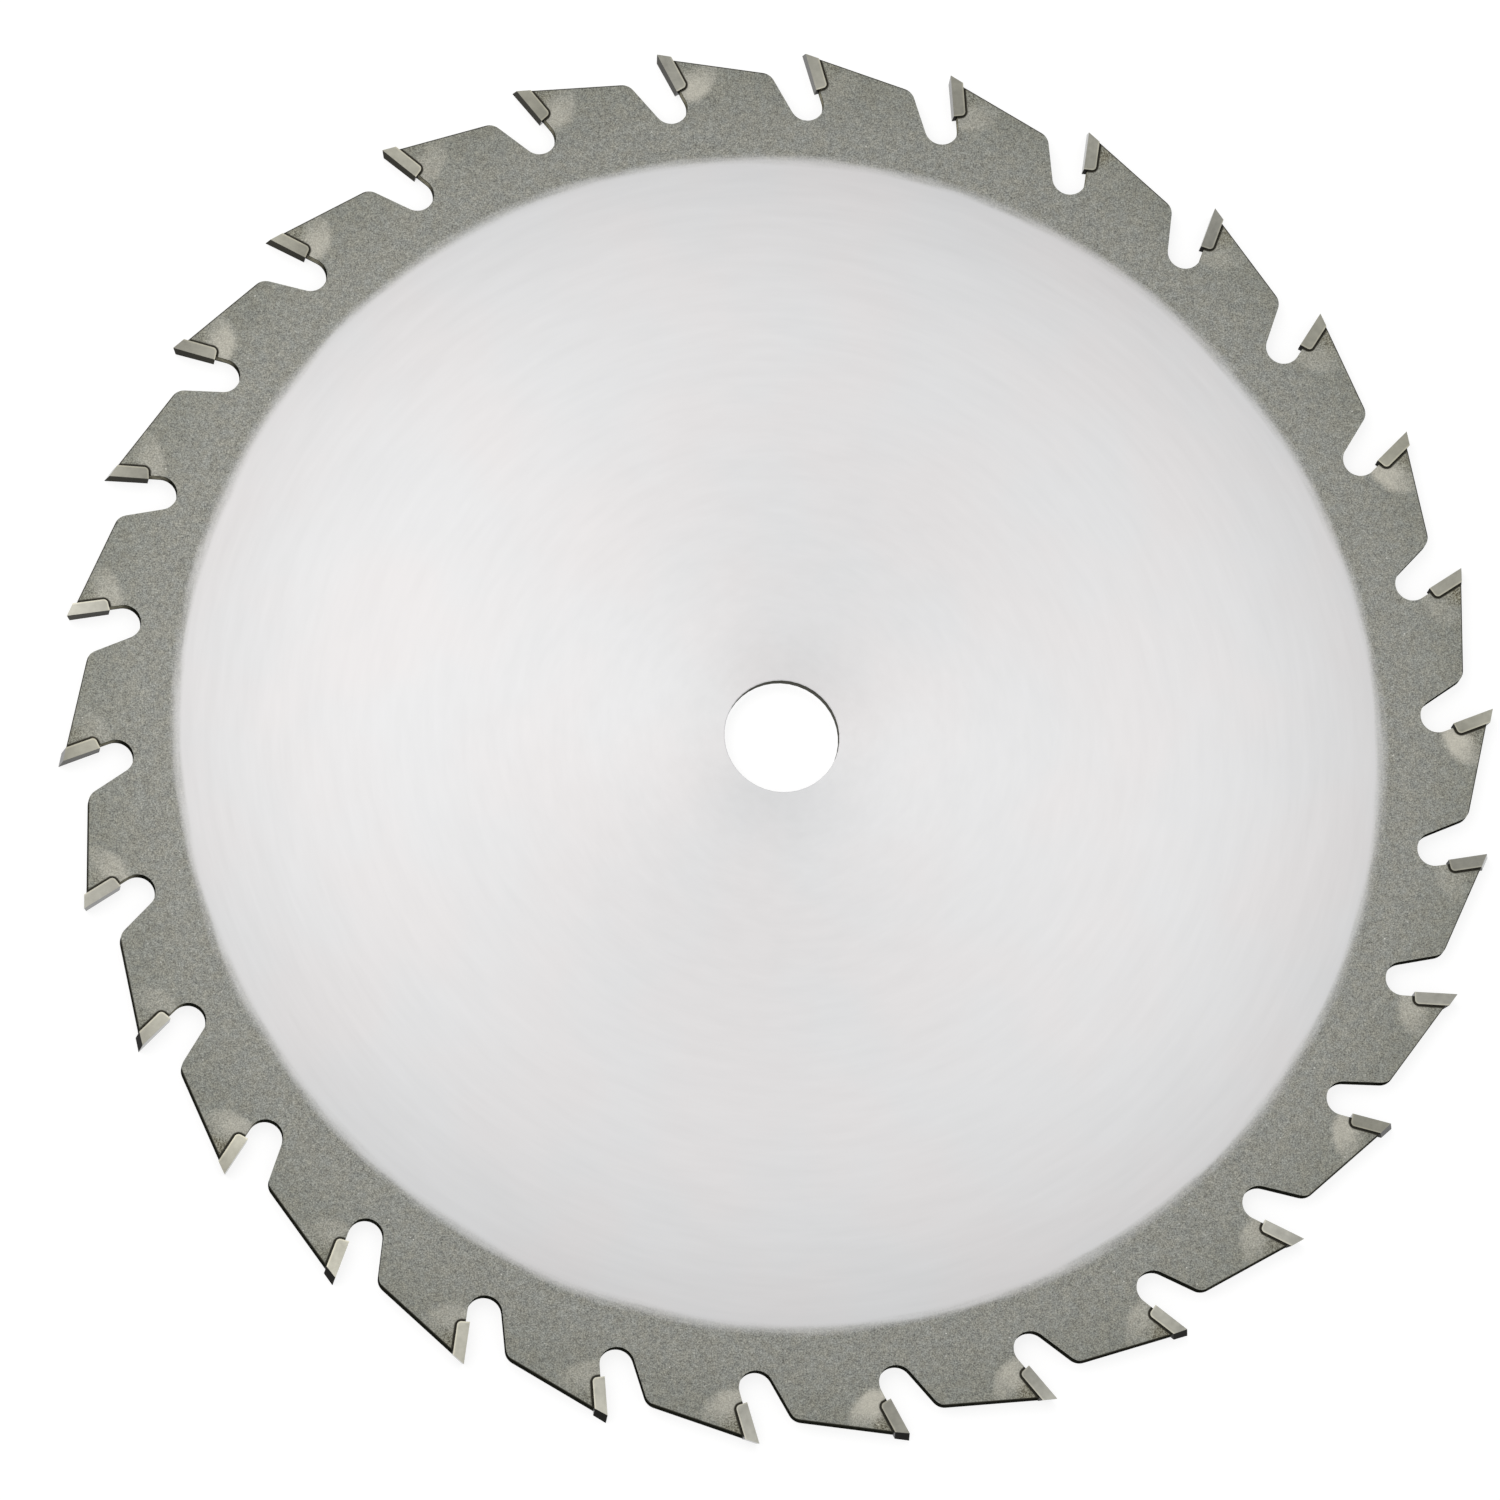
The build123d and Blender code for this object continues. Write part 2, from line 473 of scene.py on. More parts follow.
def buildPlateSteel():
    look = plateLook
    material, tree, shader = newMaterial("plate_steel", **steelConstants)
    coordinates = addNode(tree, "ShaderNodeTexCoord")
    position = coordinates.outputs["Object"]
    x, y, z = splitXYZ(tree, position)
    flat = joinXYZ(tree, x, y)
    radius = vectorMaths(tree, "LENGTH", flat, output="Value")
    around = vectorMaths(tree, "NORMALIZE", flat)
    upright = maths(tree, "ABSOLUTE", splitXYZ(tree, coordinates.outputs["Normal"])[2])
    faceShare = fade(tree, upright, *look["faceTilt"])

    # Brushed centre: lines that run round the bore, and a faint blush in patches
    lineRounds = 0.5 * look["brushedRadius"] / look["lineLength"]
    perWidth = maths(tree, "DIVIDE", radius, look["lineWidth"])
    lineVector = vectorMaths(
        tree,
        "ADD",
        vectorMaths(tree, "MULTIPLY", around, (lineRounds, lineRounds, 0.0)),
        joinXYZ(tree, 0.0, 0.0, perWidth),
    )
    fineLines = {"Fine Share": look["fineLines"]}
    lines = useGroup(tree, grindLines, Vector=lineVector, **fineLines)["Lines"]
    dimReach = look["brushedRadius"] - look["rimDimStart"]
    pastStart = maths(tree, "SUBTRACT", radius, look["rimDimStart"])
    dimShare = maths(tree, "DIVIDE", pastStart, dimReach, clamp=True)
    dim = maths(tree, "POWER", dimShare, look["rimDimPower"])
    rimDim = maths(tree, "MULTIPLY_ADD", dim, -look["brushedRimDim"], 1.0)
    stronger = maths(tree, "MULTIPLY_ADD", dim, look["rimStreaks"], 1.0)
    lineDepth = maths(tree, "MULTIPLY", stronger, look["lineContrast"])
    lineShade = swing(tree, lines, lineDepth)
    boreDim = fade(tree, radius, look["boreReach"], look["boreDimEnd"], look["boreDim"], 1.0)
    rimDim = maths(tree, "MULTIPLY", rimDim, boreDim)
    blush = fade(tree, noise(tree, position, 1 / look["blushSize"]), *look["blushEdge"])
    brushed = mixColour(tree, blush, look["blushColour"], look["coolColour"])
    brushed = multiplied(tree, brushed, look["brushedColour"])
    brushed = scaled(tree, brushed, maths(tree, "MULTIPLY", lineShade, rimDim))

    # Blasted ring, a little darker towards the teeth
    grain = useGroup(tree, blastedGrain, Position=position, Contrast=look["grainContrast"])
    outward = fade(tree, radius, *look["ringReach"])
    ring = mixColour(tree, outward, look["ringColour"], look["ringRimColour"])
    warmth = fade(tree, grain["Warmth"], *look["hueEdge"])
    ring = multiplied(tree, ring, mixColour(tree, warmth, look["coolGrain"], look["warmGrain"]))

    # A few scattered pale dots on the ring
    dots = addNode(tree, "ShaderNodeTexVoronoi", feature="F1")
    plug(tree, dots.inputs["Vector"], position)
    plug(tree, dots.inputs["Scale"], 1 / look["dotSpacing"])
    dotStart, dotEnd = (size / look["dotSpacing"] for size in look["dotSize"])
    dotDraw = splitXYZ(tree, dots.outputs["Color"])[0]
    dot = maths(tree, "GREATER_THAN", dotDraw, look["dotSeldom"])
    dot = maths(tree, "MULTIPLY", dot, fade(tree, dots.outputs["Distance"], dotStart, dotEnd))
    ring = mixColour(tree, dot, ring, look["dotColour"])

    # Heat tint: a pale crescent round the brazed joint, stronger on some teeth
    place = useGroup(tree, toothPlace, Position=position)
    wander = noise(tree, position, 1 / look["wanderSize"], detail=3.0)
    wander = swing(tree, wander, look["tintWander"], 0.0)

    def away(spot):
        up, behind = spot
        return joinXYZ(
            tree,
            maths(tree, "SUBTRACT", place["Up"], up),
            maths(tree, "SUBTRACT", place["Behind"], behind),
        )

    def reach(vector, edge):
        distance = maths(tree, "ADD", vectorMaths(tree, "LENGTH", vector, output="Value"), wander)
        return fade(tree, distance, *edge)

    fromTint = away(look["tintPlace"])
    warm = reach(away(look["coolPlace"]), look["coolEdge"])
    upward = splitXYZ(tree, vectorMaths(tree, "NORMALIZE", fromTint))[0]
    downward = maths(tree, "MULTIPLY", upward, -1.0, clamp=True)
    taper = maths(tree, "POWER", downward, look["tintTaper"])
    tint = product(tree, reach(fromTint, look["tintEdge"]), warm, taper)
    strength = maths(tree, "ADD", chance(tree, place["Tooth"], look["tintSeed"]), look["tintLeast"])
    tint = maths(tree, "MULTIPLY", tint, strength, clamp=True)

    # Straw-coloured, coarser steel with dark specks between the tint and the seam
    straw = reach(away(look["coolPlace"]), look["strawEdge"])
    scorched = chance(tree, place["Tooth"], look["strawSeed"])
    straw = maths(tree, "MULTIPLY", straw, fade(tree, scorched, 0.0, 1.0, *look["strawShare"]))
    ring = mixColour(tree, straw, ring, multiplied(tree, ring, look["strawColour"]))
    speck = maths(tree, "MULTIPLY", straw, fade(tree, grain["Height"], *look["speckEdge"]))
    ring = mixColour(tree, speck, ring, multiplied(tree, ring, look["speckColour"]))
    ring = mixColour(tree, tint, ring, look["tintColour"])
    grainShade = maths(tree, "SUBTRACT", grain["Shade"], 1.0)
    kept = maths(tree, "MULTIPLY_ADD", tint, -look["tintSmooth"], 1.0)
    kept = maths(tree, "MULTIPLY_ADD", straw, look["strawGrain"], kept)
    ring = scaled(tree, ring, maths(tree, "MULTIPLY_ADD", grainShade, kept, 1.0))

    # Scorched flux with painted shade beside the seam, and the dark lines of the seam and the tooth's back
    behindRake = fade(tree, place["Behind"], *look["scorchAndShadeStart"])
    grained = maths(tree, "MULTIPLY_ADD", grain["Height"], look["scorchAndShadeGrain"], look["scorchAndShadeLeast"])
    # A dark speckled band along the seam: flux scorch, with painted shade beside the proud tip
    nearSeam = fade(tree, place["Seam"], look["scorchAndShadeWidth"], 0.0)
    ring = mixColour(tree, product(tree, nearSeam, grained, behindRake), ring, look["scorchAndShadeColour"])
    seam = maths(tree, "MULTIPLY_ADD", wander, look["seamWander"], place["Seam"])
    seam = maths(tree, "MULTIPLY", fade(tree, seam, *look["seamEdge"]), behindRake)
    backLine = fade(tree, place["Past Back"], *look["backLine"])
    ring = mixColour(tree, maths(tree, "MAXIMUM", seam, backLine), ring, look["seamColour"])

    # The soft, streaky border between the centre and the ring
    streaks = swing(tree, lines, look["borderStreaks"], 0.0)
    borderStart = look["brushedRadius"] + look["borderWidth"] * 0.5
    borderEnd = look["brushedRadius"] - look["borderWidth"] * 0.5
    centreShare = fade(tree, maths(tree, "ADD", radius, streaks), borderStart, borderEnd)
    face = mixColour(tree, centreShare, ring, brushed)

    # Cut walls, almost black from oxide and painted shade, and the bore with its turned lines
    middle = fade(tree, maths(tree, "ABSOLUTE", z), *look["cutMiddle"])
    acrossWall = joinXYZ(tree, 0.0, 0.0, maths(tree, "DIVIDE", z, look["turnedWidth"]))
    turned = noise(tree, acrossWall, 1.0)
    patches = noise(tree, position, 1 / look["patchSize"], detail=3.0)
    belowTip = maths(tree, "SUBTRACT", -tooth["tipLength"], place["Up"])
    fluxed = product(
        tree,
        fade(tree, belowTip, *look["fluxedReach"]),
        fade(tree, place["Behind"], *look["fluxedFront"]),
        fade(tree, place["Behind"], *look["fluxedRear"]),
    )
    pale = mixColour(tree, fluxed, look["cutOxideShadeColour"], look["fluxedColour"])
    inBore = maths(tree, "LESS_THAN", radius, look["boreReach"])
    pale = mixColour(tree, inBore, pale, look["boreColour"])
    uneven = maths(tree, "MULTIPLY", mixColour(tree, inBore, patches, turned), look["wallContrast"])
    pale = multiplied(tree, pale, uneven)
    # The cut walls' dark oxide, painted darker still as shade
    cutShade = fade(tree, patches, *look["patchEdge"], *look["cutLines"])
    oxideAndShade = scaled(tree, joinXYZ(tree, *look["cutOxideShadeColour"]), cutShade)
    wall = mixColour(tree, middle, oxideAndShade, pale)
    colour = mixColour(tree, faceShare, wall, face)
    plug(tree, shader["Base Color"], colour)

    plug(tree, shader["Metallic"], faceShare)
    faceRoughness = fade(tree, centreShare, 0.0, 1.0, look["ringRoughness"], look["brushedRoughness"])
    roughness = fade(tree, faceShare, 0.0, 1.0, look["wallRoughness"], faceRoughness)
    plug(tree, shader["Roughness"], roughness)

    lineHeight = maths(tree, "MULTIPLY", lines, look["lineHeight"])
    addBump(tree, shader, look, mixValue(tree, centreShare, grain["Height"], lineHeight))
    return material


# The tips: ground carbide with a painted highlight along the edge beside the braze, and painted
# shade, dark on the rake face and darker on the top, which both turn bright where they are seen at a low
# angle
carbideLook = {
    "faceTilt": (0.6, 0.85),
    "sideColour": (0.308, 0.304, 0.263),
    # Painted highlight: a pale band along the tip's edge beside the braze
    "edgeHighlightColour": (0.423, 0.411, 0.339),
    "edgeHighlightWidth": 0.34 * mm,
    "edgeHighlightInner": 0.3,  # the share of the rim's width that stays at its full colour
    # Each tip's tone: partly random, partly painted light that follows how each tip is lit
    "tipToneAndPaintedLight": (0.70, 0.62),  # the darkest tip's shade, and how much the palest adds
    "tipToneAndLightSeed": 138761.0,
    "warmTooth": (1.01, 1.0, 0.965),
    "coolTooth": (0.99, 0.99, 1.02),
    "hueSeed": 75.0,
    # Painted shade: the rake faces dark and the tops darker still
    "rakeShadeColour": (0.041, 0.038, 0.027),
    "landShadeColour": (0.012, 0.011, 0.009),
    "landStart": (0.03 * mm, 0.12 * mm),  # how far behind the rake face the top begins
    "groundMetal": 0.15,
    "glance": (0.70, 0.88),  # where a ground face seen at a low angle turns bright
    "lineLength": 3.0 * mm,
    "lineWidth": 0.09 * mm,
    "lineContrast": 0.22,
    "fineLines": 0.4,
    "toothStep": 7.7,  # moves the lines on from tip to tip, so that no two are alike
    "sideRoughness": 0.34,
    "groundRoughness": 0.30,
    "roughnessSwing": 0.15,
    "cloudSize": 1.4 * mm,
    "cloudRoughness": 0.6,
    "cloudContrast": 0.50,
    # Painted shade: one end of each tip's side darker than the other
    "paintedShadeLean": 0.50,  # how much one end of a tip's side can be darker than the other
    "paintedShadeLeanSeed": 204.0,
    "bumpStrength": 0.2,
    "bumpDistance": 0.02 * mm,
}


def buildCarbide():
    look = carbideLook
    constants = {"Specular IOR Level": 0.0, "Coat Roughness": 0.12}
    material, tree, shader = newMaterial("ground_carbide", **constants)
    coordinates = addNode(tree, "ShaderNodeTexCoord")
    position = coordinates.outputs["Object"]
    upright = maths(tree, "ABSOLUTE", splitXYZ(tree, coordinates.outputs["Normal"])[2])
    sideShare = fade(tree, upright, *look["faceTilt"])
    place = useGroup(tree, toothPlace, Position=position)
    lineVector = joinXYZ(
        tree,
        maths(tree, "DIVIDE", place["Up"], look["lineLength"]),
        maths(tree, "MULTIPLY", place["Tooth"], look["toothStep"]),
        maths(tree, "DIVIDE", place["Behind"], look["lineWidth"]),
    )
    fineLines = {"Fine Share": look["fineLines"]}
    lines = useGroup(tree, grindLines, Vector=lineVector, **fineLines)["Lines"]
    clouds = noise(tree, position, 1 / look["cloudSize"], detail=3.0, roughness=look["cloudRoughness"])
    # Painted highlight: the tip's side is made paler along its edge beside the braze
    paintedEdgeHighlight = fade(tree, place["Seam"], -look["edgeHighlightWidth"], -look["edgeHighlightInner"] * look["edgeHighlightWidth"])
    side = mixColour(tree, paintedEdgeHighlight, look["sideColour"], look["edgeHighlightColour"])
    darkest, added = look["tipToneAndPaintedLight"]
    # Each tip's tone: partly random, partly painted light that follows how each tip is lit
    tipToneAndPaintedLight = chance(tree, place["Tooth"], look["tipToneAndLightSeed"])
    hue = chance(tree, place["Tooth"], look["hueSeed"])
    hue = mixColour(tree, hue, look["coolTooth"], look["warmTooth"])
    tipToneAndPaintedLight = maths(tree, "MULTIPLY_ADD", tipToneAndPaintedLight, added, darkest)
    side = scaled(tree, multiplied(tree, side, hue), tipToneAndPaintedLight)
    shade = swing(tree, lines, look["lineContrast"])
    shade = swing(tree, clouds, look["cloudContrast"], shade)
    # Painted shade: one end of each tip's side made darker than the other
    alongTip = maths(tree, "ADD", maths(tree, "DIVIDE", place["Up"], tooth["tipLength"]), 0.5)
    paintedShadeLean = swing(tree, chance(tree, place["Tooth"], look["paintedShadeLeanSeed"]), look["paintedShadeLean"] * 2, 0.0)
    shade = maths(tree, "ADD", shade, maths(tree, "MULTIPLY", alongTip, paintedShadeLean))
    # Painted shade: dark rake faces, and the tops darker still
    land = fade(tree, place["Behind"], *look["landStart"])
    paintedGroundShade = mixColour(tree, land, look["rakeShadeColour"], look["landShadeColour"])
    colour = scaled(tree, mixColour(tree, sideShare, paintedGroundShade, side), shade)
    plug(tree, shader["Base Color"], colour)
    plug(tree, shader["Metallic"], fade(tree, sideShare, 0.0, 1.0, look["groundMetal"], 1.0))
    groundShare = maths(tree, "SUBTRACT", 1.0, sideShare)
    facing = addNode(tree, "ShaderNodeLayerWeight").outputs["Facing"]
    bright = fade(tree, facing, *look["glance"])
    plug(tree, shader["Coat Weight"], maths(tree, "MULTIPLY", groundShare, bright))
    roughness = fade(tree, sideShare, 0.0, 1.0, look["groundRoughness"], look["sideRoughness"])
    plug(tree, shader["Roughness"], swing(tree, clouds, look["roughnessSwing"], roughness))
    addBump(tree, shader, look, lines)
    return material


# The braze: flux-darkened silver solder with a little of its brassy metal showing
brazeLook = {
    "fluxColour": (0.020, 0.019, 0.014),
    "metalColour": (0.230, 0.195, 0.125),
    "metalStart": 0.60,
    "metalEnd": 0.78,
    "fleckSize": 0.5 * mm,
    "roughness": 0.45,
    "roughnessSwing": 0.3,
    "bumpStrength": 0.4,
    "bumpDistance": 0.03 * mm,
}


def buildBraze():
    look = brazeLook
    material, tree, shader = newMaterial("silver_braze", **{"Specular IOR Level": 0.1})
    position = addNode(tree, "ShaderNodeTexCoord").outputs["Object"]
    fleck = {"Grain Size": look["fleckSize"], "Contrast": 1.0}
    grain = useGroup(tree, blastedGrain, Position=position, **fleck)
    bare = fade(tree, grain["Height"], look["metalStart"], look["metalEnd"])
    colour = mixColour(tree, bare, look["fluxColour"], look["metalColour"])
    plug(tree, shader["Base Color"], colour)
    plug(tree, shader["Metallic"], bare)
    swung = maths(tree, "MULTIPLY_ADD", grain["Height"], look["roughnessSwing"], look["roughness"])
    plug(tree, shader["Roughness"], swung)
    addBump(tree, shader, look, grain["Height"])
    return material


plateSteel = buildPlateSteel()
groundCarbide = buildCarbide()
silverBraze = buildBraze()


def dress(node, material):
    if not node.data.materials:
        node.data.materials.append(material)
    for i in range(len(node.material_slots)):
        node.material_slots[i].link = "OBJECT"
        node.material_slots[i].material = material


for name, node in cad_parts.items():
    if name == "blade_plate":
        dress(node, plateSteel)
    elif name.startswith("carbide_tip"):
        dress(node, groundCarbide)
    else:
        dress(node, silverBraze)
print("materials on", len(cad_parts), "CAD nodes")


# The fillets of braze: where each tip stands proud of the plate, solder has flowed into
# the corner along its rear and its floor, on both faces
fillet = {
    "width": 0.34 * mm,
    "height": 0.22 * mm,
    "endInset": 0.12 * mm,
    "unevenness": 0.5,
    "unevenLength": 1.1 * mm,
    "spacing": 0.22 * mm,
    "sides": 8,
    "cornerSteps": 6,
    "seed": 4.0,
}


def heading(degrees):
    return Vector((cos(radians(degrees)), sin(radians(degrees)), 0.0))


def crossing(start, along, otherStart, otherAlong):
    gap = otherStart - start
    return start + along * (gap.cross(otherAlong).z / along.cross(otherAlong).z)


# The seam's middle line on the first tooth: its outer end, its corner and its inner end
def seamPath():
    hook = tooth["hookAngle"]
    outward, rearward = heading(hook), heading(hook - 90)
    floorAlong = heading(hook - 90 + tooth["floorLean"])
    floorDown = heading(hook - 180 + tooth["floorLean"])
    point = Vector((cuttingRadius, 0.0, 0.0))
    rear = point + rearward * (tooth["tipThickness"] + tooth["brazeGap"] / 2)
    floor = point - outward * tooth["tipLength"] + floorDown * (tooth["brazeGap"] / 2)
    back = Vector((cuttingRadius - tooth["tipRise"], 0.0, 0.0))
    wall = point + rearward * tooth["tipLead"]
    outerEnd = crossing(rear, outward, back, heading(-90 - tooth["backAngle"]))
    innerEnd = crossing(floor, floorAlong, wall, outward)
    inset = fillet["endInset"]
    corner = crossing(rear, outward, floor, floorAlong)
    return outerEnd - outward * inset, corner, innerEnd + floorAlong * inset


def buildFilletTree():
    tree = bpy.data.node_groups.new("braze fillets", "GeometryNodeTree")
    outerEnd, corner, innerEnd = seamPath()
    for label, kind, value in (
        ("Outer End", "NodeSocketVector", outerEnd),
        ("Corner", "NodeSocketVector", corner),
        ("Inner End", "NodeSocketVector", innerEnd),
        ("Corner Radius", "NodeSocketFloat", tooth["cornerRadius"] + tooth["brazeGap"] / 2),
        ("Width", "NodeSocketFloat", fillet["width"]),
        ("Height", "NodeSocketFloat", fillet["height"]),
        ("Face Height", "NodeSocketFloat", faceHeight),
        ("Unevenness", "NodeSocketFloat", fillet["unevenness"]),
        ("Tooth Count", "NodeSocketInt", tooth["count"]),
        ("Seed", "NodeSocketFloat", fillet["seed"]),
        ("Material", "NodeSocketMaterial", None),
    ):
        socket = tree.interface.new_socket(label, in_out="INPUT", socket_type=kind)
        if value is not None:
            socket.default_value = value
    tree.interface.new_socket("Geometry", in_out="OUTPUT", socket_type="NodeSocketGeometry")
    given = addNode(tree, "NodeGroupInput").outputs
    result = addNode(tree, "NodeGroupOutput").inputs

    # One L-shaped curve with a rounded corner
    stopLabels = ("Outer End", "Corner", "Inner End")
    line = addNode(tree, "GeometryNodeMeshLine")
    line.inputs["Count"].default_value = len(stopLabels)
    stops = addNode(tree, "GeometryNodeIndexSwitch", data_type="VECTOR")
    stops.index_switch_items.new()  # a third item, beside the two that it starts with
    plug(tree, stops.inputs["Index"], addNode(tree, "GeometryNodeInputIndex").outputs["Index"])
    for i, label in enumerate(stopLabels):
        plug(tree, stops.inputs[str(i)], given[label])
    placed = addNode(tree, "GeometryNodeSetPosition")
    plug(tree, placed.inputs["Geometry"], line.outputs["Mesh"])
    plug(tree, placed.inputs["Position"], stops.outputs[0])
    curve = addNode(tree, "GeometryNodeMeshToCurve")
    plug(tree, curve.inputs["Mesh"], placed.outputs["Geometry"])
    rounded = addNode(tree, "GeometryNodeFilletCurve", mode="POLY")
    plug(tree, rounded.inputs["Curve"], curve.outputs["Curve"])
    rounded.inputs["Count"].default_value = fillet["cornerSteps"]
    plug(tree, rounded.inputs["Radius"], given["Corner Radius"])
    divided = addNode(tree, "GeometryNodeResampleCurve", mode="LENGTH")
    plug(tree, divided.inputs["Curve"], rounded.outputs["Curve"])
    divided.inputs["Length"].default_value = fillet["spacing"]

    # One such curve on every tooth
    centres = addNode(tree, "GeometryNodePoints")
    plug(tree, centres.inputs["Count"], given["Tooth Count"])
    ring = addNode(tree, "GeometryNodeInstanceOnPoints")
    plug(tree, ring.inputs["Points"], centres.outputs[0])
    plug(tree, ring.inputs["Instance"], divided.outputs["Curve"])
    pitch = maths(tree, "DIVIDE", radians(360), given["Tooth Count"])
    turn = maths(tree, "MULTIPLY", addNode(tree, "GeometryNodeInputIndex").outputs["Index"], pitch)
    plug(tree, ring.inputs["Rotation"], joinXYZ(tree, 0.0, 0.0, turn))
    curves = addNode(tree, "GeometryNodeRealizeInstances")
    plug(tree, curves.inputs["Geometry"], ring.outputs["Instances"])

    # Uneven thickness, then a tube that is flattened to the fillet's height
    uneven = addNode(tree, "ShaderNodeTexNoise", noise_dimensions="4D")
    uneven.inputs["Scale"].default_value = 1 / fillet["unevenLength"]
    plug(tree, uneven.inputs["Vector"], addNode(tree, "GeometryNodeInputPosition").outputs["Position"])
    plug(tree, uneven.inputs["W"], given["Seed"])
    thickness = swing(tree, uneven.outputs["Fac"], given["Unevenness"])
    profile = addNode(tree, "GeometryNodeCurvePrimitiveCircle", mode="RADIUS")
    profile.inputs["Resolution"].default_value = fillet["sides"]
    plug(tree, profile.inputs["Radius"], maths(tree, "MULTIPLY", given["Width"], 0.5))
    tube = addNode(tree, "GeometryNodeCurveToMesh")
    plug(tree, tube.inputs["Curve"], curves.outputs["Geometry"])
    plug(tree, tube.inputs["Profile Curve"], profile.outputs["Curve"])
    tube.inputs["Fill Caps"].default_value = True
    plug(tree, tube.inputs["Scale"], thickness)
    flatness = maths(tree, "DIVIDE", given["Height"], given["Width"])
    front = addNode(tree, "GeometryNodeTransform")
    plug(tree, front.inputs["Geometry"], tube.outputs["Mesh"])
    plug(tree, front.inputs["Scale"], joinXYZ(tree, 1.0, 1.0, flatness))
    plug(tree, front.inputs["Translation"], joinXYZ(tree, 0.0, 0.0, given["Face Height"]))

    # The same on the back face, turned outward again after mirroring
    back = addNode(tree, "GeometryNodeTransform")
    plug(tree, back.inputs["Geometry"], front.outputs["Geometry"])
    back.inputs["Scale"].default_value = (1.0, 1.0, -1.0)
    outwards = addNode(tree, "GeometryNodeFlipFaces")
    plug(tree, outwards.inputs["Mesh"], back.outputs["Geometry"])
    both = addNode(tree, "GeometryNodeJoinGeometry")
    tree.links.new(front.outputs["Geometry"], both.inputs["Geometry"])
    tree.links.new(outwards.outputs["Mesh"], both.inputs["Geometry"])
    smooth = addNode(tree, "GeometryNodeSetShadeSmooth")
    plug(tree, smooth.inputs["Geometry"], both.outputs["Geometry"])
    real = addNode(tree, "GeometryNodeRealizeInstances")
    plug(tree, real.inputs["Geometry"], smooth.outputs["Geometry"])
    painted = addNode(tree, "GeometryNodeSetMaterial")
    plug(tree, painted.inputs["Geometry"], real.outputs["Geometry"])
    plug(tree, painted.inputs["Material"], given["Material"])
    plug(tree, result["Geometry"], painted.outputs["Geometry"])
    return tree


def setInput(modifier, label, value):
    for item in modifier.node_group.interface.items_tree:
        if item.item_type == "SOCKET" and item.in_out == "INPUT" and item.name == label:
            modifier[item.identifier] = value


def buildFillets():
    mould = bpy.data.objects.new("fillet_mould", bpy.data.meshes.new("fillet_mould"))
    bpy.context.scene.collection.objects.link(mould)
    modifier = mould.modifiers.new("fillets", "NODES")
    modifier.node_group = buildFilletTree()
    setInput(modifier, "Material", silverBraze)
    evaluated = mould.evaluated_get(bpy.context.evaluated_depsgraph_get())
    mesh = bpy.data.meshes.new_from_object(evaluated)
    mesh.name = "braze_fillets"
    bpy.data.objects.remove(mould)
    piece = bpy.data.objects.new("braze_fillets", mesh)
    bpy.context.scene.collection.objects.link(piece)
    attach(piece, "root")
    print("braze fillets:", len(mesh.polygons), "faces")


buildFillets()


# The floor: plain white, still showing the blade's shadow
stage = {
    "floorRadius": 4.0,
    "floorSides": 64,
    "floorColour": (0.30, 0.30, 0.30),
    "floorLift": 0.80,
    "worldSeen": 1.0,
    "worldLight": 0.68,
}


# 1 for what the camera sees directly, in a mirror or through glass
def seenRays(tree):
    rays = addNode(tree, "ShaderNodeLightPath").outputs
    seen = maths(tree, "MAXIMUM", rays["Is Camera Ray"], rays["Is Glossy Ray"])
    return maths(tree, "MAXIMUM", seen, rays["Is Transmission Ray"])


def buildFloor():
    material, tree, shader = newMaterial("floor_white", **{"Roughness": 1.0, "Specular IOR Level": 0.0})
    shader["Base Color"].default_value = opaque(stage["floorColour"])
    shader["Emission Color"].default_value = (1.0, 1.0, 1.0, 1.0)
    plug(tree, shader["Emission Strength"], maths(tree, "MULTIPLY", seenRays(tree), stage["floorLift"]))
    outline = {"vertices": stage["floorSides"], "radius": stage["floorRadius"]}
    bpy.ops.mesh.primitive_circle_add(fill_type="NGON", **outline)
    floor = bpy.context.object
    floor.name = "floor"
    floor.location.z = restHeight
    floor.data.materials.append(material)


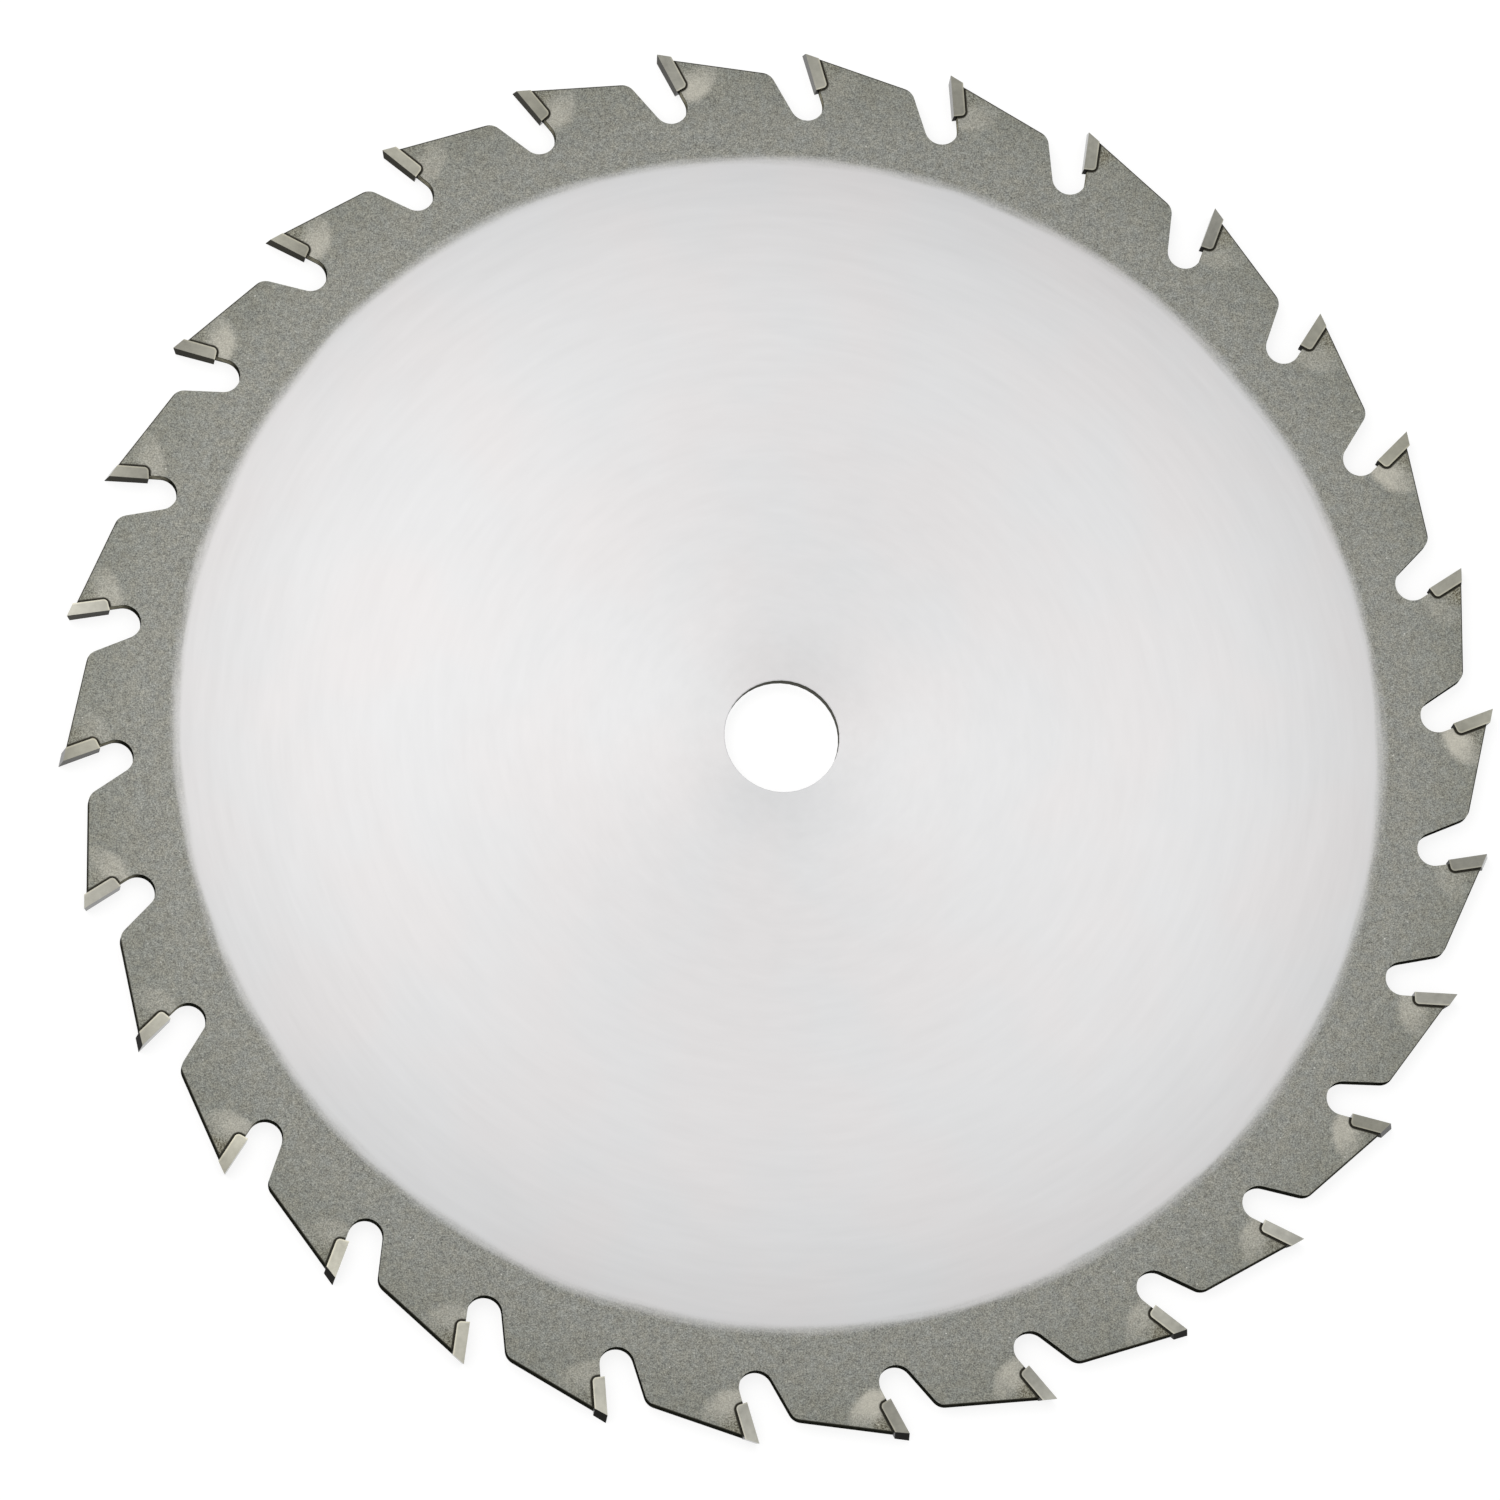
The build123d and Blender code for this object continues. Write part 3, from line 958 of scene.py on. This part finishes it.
def buildWorld():
    world = bpy.data.worlds.new("studio")
    world.use_nodes = True
    tree = world.node_tree
    background = tree.nodes["Background"]
    background.inputs["Color"].default_value = (1.0, 1.0, 1.0, 1.0)
    seen = seenRays(tree)
    strength = fade(tree, seen, 0.0, 1.0, stage["worldLight"], stage["worldSeen"])
    plug(tree, background.inputs["Strength"], strength)
    bpy.context.scene.world = world


# One large softbox, up and to the picture's left
softbox = {
    "azimuth": 139.0,
    "elevation": 50.0,
    "distance": 0.75,
    "width": 0.80,
    "height": 0.80,
    "watts": 2.0,
    "colour": (1.0, 0.965, 0.935),
}


def towards(azimuth, elevation):
    return heading(azimuth) * cos(radians(elevation)) + Vector((0.0, 0.0, sin(radians(elevation))))


def buildLights():
    data = bpy.data.lights.new("softbox", "AREA")
    data.shape = "RECTANGLE"
    data.size = softbox["width"]
    data.size_y = softbox["height"]
    data.energy = softbox["watts"]
    data.color = softbox["colour"]
    lamp = bpy.data.objects.new("softbox", data)
    away = towards(softbox["azimuth"], softbox["elevation"])
    lamp.location = away * softbox["distance"]
    lamp.rotation_euler = away.to_track_quat("Z", "Y").to_euler()
    bpy.context.scene.collection.objects.link(lamp)


# The camera looks down on the blade from a little below and to the left of its axis
camera = {
    "azimuth": -118.0,
    "elevation": 73.0,
    "distance": 2.0,
    "upHeading": 85.84,  # the blade's direction that points up in the picture
    "aim": (-5.6 * mm, -2.0 * mm, 0.0),
    "lens": 278.1,
    "sensor": 36.0,
    "clipEnd": 20.0,
}


def buildCamera():
    data = bpy.data.cameras.new("camera")
    data.lens = camera["lens"]
    data.sensor_width = camera["sensor"]
    data.clip_end = camera["clipEnd"]
    view = bpy.data.objects.new("camera", data)
    back = towards(camera["azimuth"], camera["elevation"])
    upward = heading(camera["upHeading"])
    upward = (upward - back * upward.dot(back)).normalized()
    turn = Matrix((upward.cross(back), upward, back)).transposed()
    view.matrix_world = Matrix.Translation(Vector(camera["aim"]) + back * camera["distance"]) @ turn.to_4x4()
    bpy.context.scene.collection.objects.link(view)
    bpy.context.scene.camera = view


buildFloor()
buildWorld()
buildLights()
buildCamera()
bpy.context.scene.view_settings.view_transform = "Standard"
print("floor, light and camera set")
